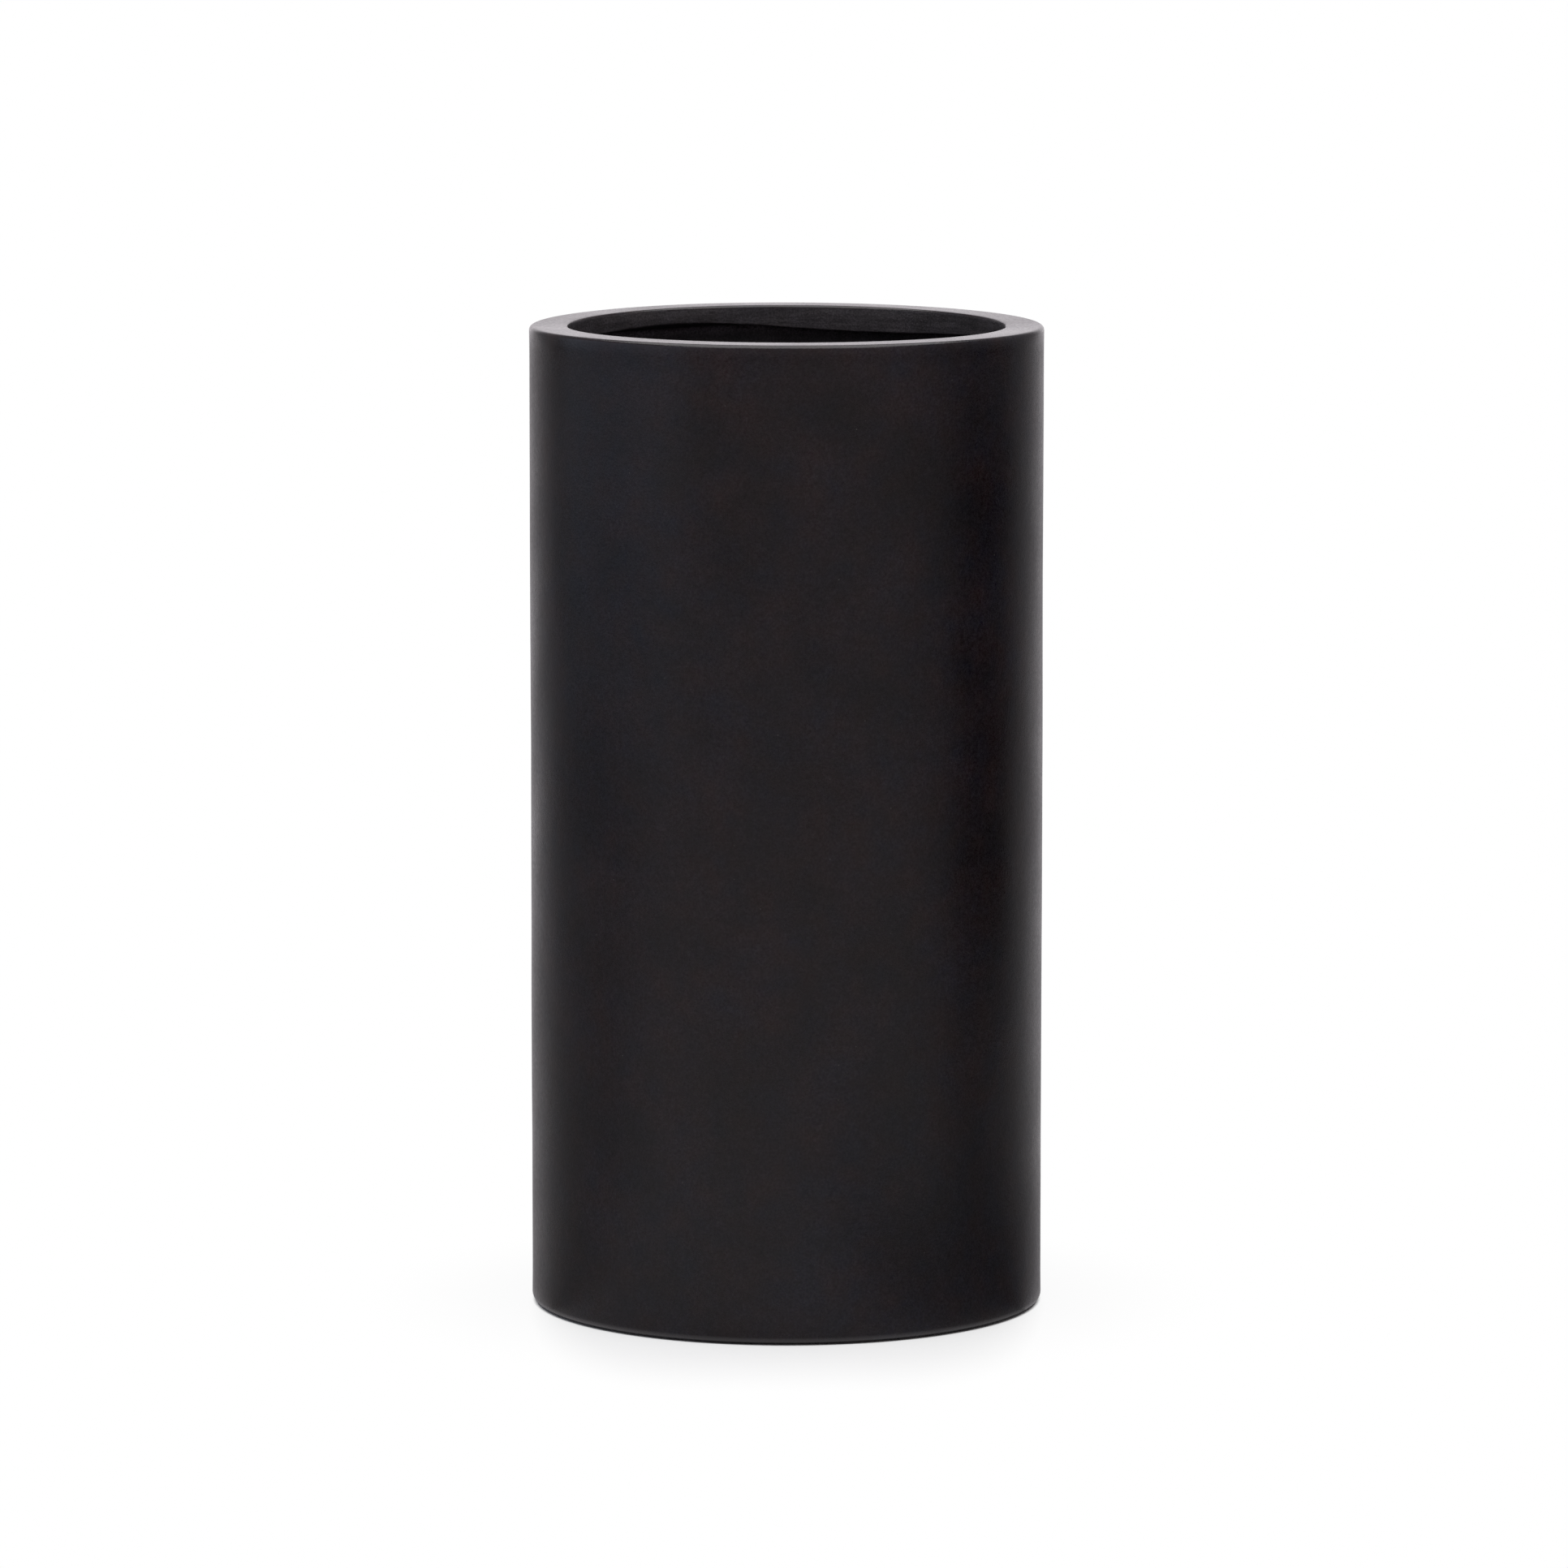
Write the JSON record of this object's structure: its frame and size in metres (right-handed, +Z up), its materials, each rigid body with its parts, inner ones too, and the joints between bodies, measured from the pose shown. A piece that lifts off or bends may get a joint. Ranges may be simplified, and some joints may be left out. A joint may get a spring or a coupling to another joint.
{
  "type": "floor planter",
  "caption": "Tall round cement floor planter with a flat inward-returned rim, a drain hole closed by a pull-out rubber plug, and low rubber foot pads.",
  "frame": {"origin": "on the floor, under the middle of the planter", "axes": "+Z up along the planter's axis, -Y towards the viewer of the picture, +X to the viewer's right"},
  "size_m": [0.3174, 0.3174, 0.61],
  "materials": {
    "cement": "through-coloured black cement, satin sealed outside, rough inside",
    "plug_rubber": "moulded black rubber",
    "pad_rubber": "die-cut black rubber"
  },
  "bodies": {
    "planter": {"cement_shell": "cement", "foot_pad_1": "pad_rubber", "foot_pad_2": "pad_rubber", "foot_pad_3": "pad_rubber", "foot_pad_4": "pad_rubber"},
    "plug": {"drain_plug": "plug_rubber"}
  },
  "joints": [
    {"name": "plug_pull", "type": "slide", "parent": "planter", "child": "plug", "axis": [0, 0, 1], "range_m": [0, 0.63]}
  ]
}
